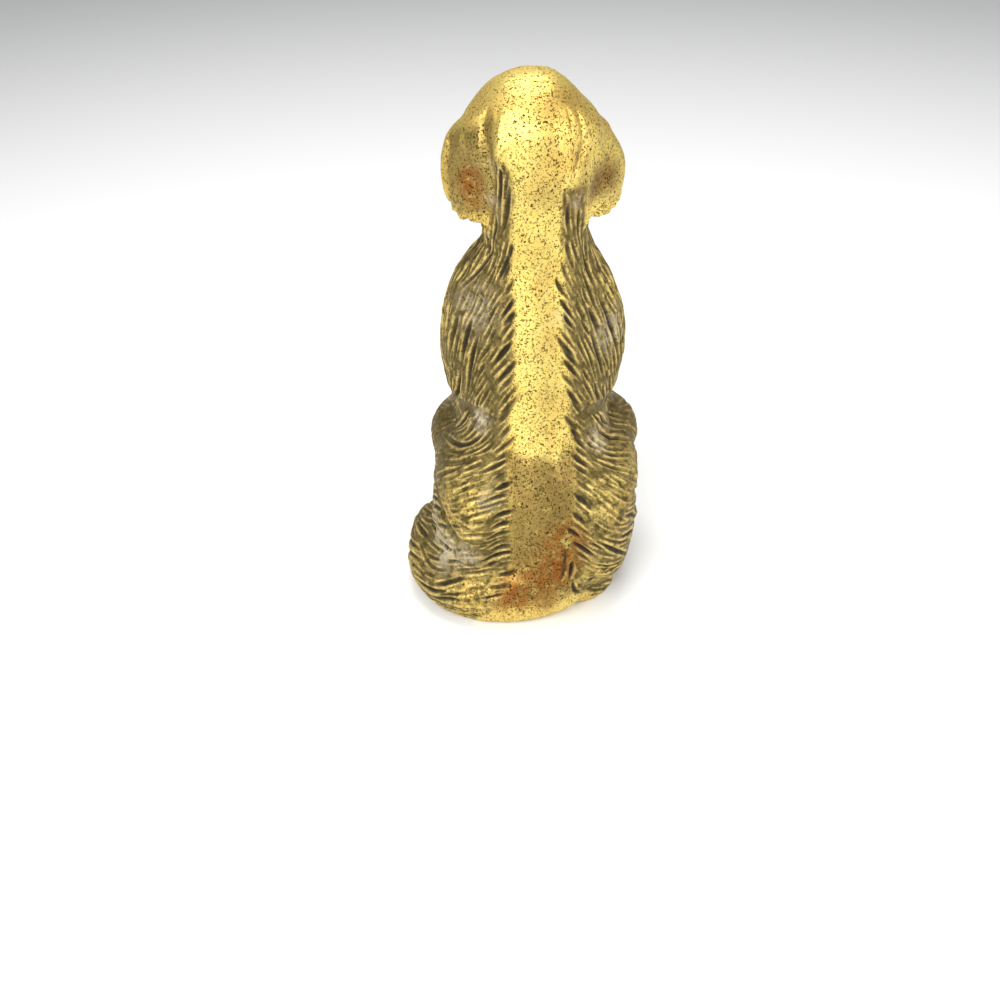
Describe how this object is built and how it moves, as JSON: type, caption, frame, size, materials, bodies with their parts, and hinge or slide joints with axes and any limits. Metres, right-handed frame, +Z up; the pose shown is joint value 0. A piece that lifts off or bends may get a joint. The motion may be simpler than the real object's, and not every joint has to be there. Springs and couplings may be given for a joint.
{
  "type": "dog figurine",
  "caption": "Cast brass figurine of a long-eared dog sitting upright, with combed locks of hair and its tail swept round one side.",
  "frame": {"origin": "on the resting plane, under the middle of the figure's footprint", "axes": "+Z up, the dog faces +Y, +X is the dog's right"},
  "size_m": [0.0844, 0.1048, 0.1739],
  "materials": {
    "brass": "aged cast brass, worn bright and pitted on the head and down the back, dark in the hair"
  },
  "bodies": {
    "root": {"brass_dog": "brass"}
  },
  "joints": []
}
